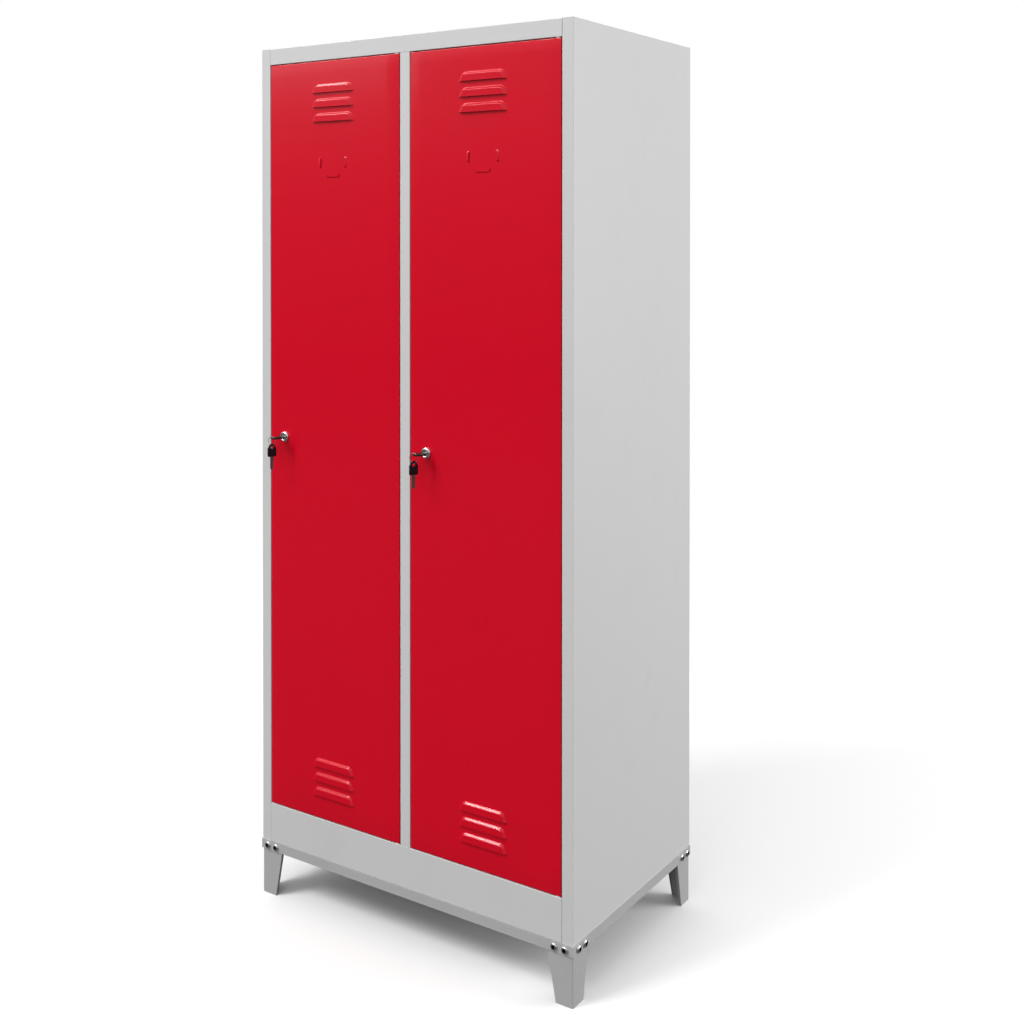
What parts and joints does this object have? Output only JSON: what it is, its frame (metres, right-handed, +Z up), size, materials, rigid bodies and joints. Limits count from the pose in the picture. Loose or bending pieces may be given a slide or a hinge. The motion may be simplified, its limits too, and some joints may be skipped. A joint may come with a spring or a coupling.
{
  "type": "changing room locker",
  "caption": "Sheet-steel changing room locker: full-height hinged doors with louvres, card holders and cam locks, on a bolted angle frame with tapered legs.",
  "frame": {"origin": "floor level, under the middle of everything that stands on the floor, keys included", "axes": "+Z up, -Y out of the doors towards the user, +X to the user's right"},
  "size_m": [0.8118, 0.5498, 1.868],
  "materials": {
    "body_paint": "light grey powder coat, semi-gloss",
    "door_paint": "signal red powder coat, semi-gloss",
    "base_paint": "mid grey powder coat, semi-gloss",
    "chrome": "bright plating",
    "steel": "zinc plate",
    "black_plastic": "fine-grained black plastic",
    "nylon": "natural nylon",
    "rubber": "matt black rubber"
  },
  "bodies": {
    "cabinet": {"left_side_panel": "body_paint", "right_side_panel": "body_paint", "back_panel": "body_paint", "top_panel": "body_paint", "bottom_panel": "body_paint", "centre_post": "body_paint", "centre_partition": "body_paint", "door_stops": "body_paint", "front_base_bar": "base_paint", "rear_base_bar": "base_paint", "left_base_bar": "base_paint", "right_base_bar": "base_paint", "front_left_leg": "base_paint", "front_right_leg": "base_paint", "rear_left_leg": "base_paint", "rear_right_leg": "base_paint", "leg_bolts": "chrome", "rail_sockets": "steel", "coat_hooks": "steel", "back_rivets": "steel", "leg_nuts": "steel", "base_screws": "steel", "base_nuts": "steel", "hinge_bushes": "nylon", "door_buffers": "rubber", "left_hat_shelf": "body_paint", "left_coat_rail": "chrome", "right_hat_shelf": "body_paint", "right_coat_rail": "chrome"},
    "left_door": {"left_door_panel": "door_paint", "left_door_stiffener": "door_paint", "left_pivot_blocks": "steel", "left_pivot_pins": "steel", "left_lock_housing": "chrome", "left_lock_nut": "steel"},
    "left_lock": {"left_lock_plug": "chrome", "left_lock_cam": "steel", "left_cam_screw": "steel"},
    "left_key": {"left_key_blade": "steel", "left_key_bow": "black_plastic"},
    "left_ring": {"left_key_ring": "steel"},
    "left_spare_key": {"left_spare_key_blade": "steel", "left_spare_key_bow": "black_plastic"},
    "right_door": {"right_door_panel": "door_paint", "right_door_stiffener": "door_paint", "right_pivot_blocks": "steel", "right_pivot_pins": "steel", "right_lock_housing": "chrome", "right_lock_nut": "steel"},
    "right_lock": {"right_lock_plug": "chrome", "right_lock_cam": "steel", "right_cam_screw": "steel"},
    "right_key": {"right_key_blade": "steel", "right_key_bow": "black_plastic"},
    "right_ring": {"right_key_ring": "steel"},
    "right_spare_key": {"right_spare_key_blade": "steel", "right_spare_key_bow": "black_plastic"}
  },
  "joints": [
    {"name": "left_door_swing", "type": "hinge", "parent": "cabinet", "child": "left_door", "pos_m": [-0.0225, -0.22603, 1.018], "axis": [0, 0, 1], "range_deg": [0, 110]},
    {"name": "left_lock_turn", "type": "hinge", "parent": "left_door", "child": "left_lock", "pos_m": [-0.332, -0.23103, 1.018], "axis": [0, -1, 0], "range_deg": [0, 90]},
    {"name": "left_key_pull", "type": "slide", "parent": "left_lock", "child": "left_key", "axis": [0, -1, 0], "range_m": [0, 0.024]},
    {"name": "left_ring_turn", "type": "hinge", "parent": "left_key", "child": "left_ring", "pos_m": [-0.332, -0.26503, 1.018], "axis": [0, -1, 0], "range_deg": [-90, 0]},
    {"name": "left_spare_key_swing", "type": "hinge", "parent": "left_ring", "child": "left_spare_key", "pos_m": [-0.33907, -0.26503, 1.00093], "axis": [1, 0, 0], "range_deg": [-30, 30]},
    {"name": "right_door_swing", "type": "hinge", "parent": "cabinet", "child": "right_door", "pos_m": [0.365, -0.22603, 1.018], "axis": [0, 0, 1], "range_deg": [0, 110]},
    {"name": "right_lock_turn", "type": "hinge", "parent": "right_door", "child": "right_lock", "pos_m": [0.0555, -0.23103, 1.018], "axis": [0, -1, 0], "range_deg": [0, 90]},
    {"name": "right_key_pull", "type": "slide", "parent": "right_lock", "child": "right_key", "axis": [0, -1, 0], "range_m": [0, 0.024]},
    {"name": "right_ring_turn", "type": "hinge", "parent": "right_key", "child": "right_ring", "pos_m": [0.0555, -0.26503, 1.018], "axis": [0, -1, 0], "range_deg": [-90, 0]},
    {"name": "right_spare_key_swing", "type": "hinge", "parent": "right_ring", "child": "right_spare_key", "pos_m": [0.04843, -0.26503, 1.00093], "axis": [1, 0, 0], "range_deg": [-30, 30]}
  ],
  "couplings": [
    {"joint": "left_ring_turn", "follows": "left_lock_turn", "ratio": -1},
    {"joint": "right_ring_turn", "follows": "right_lock_turn", "ratio": -1}
  ]
}
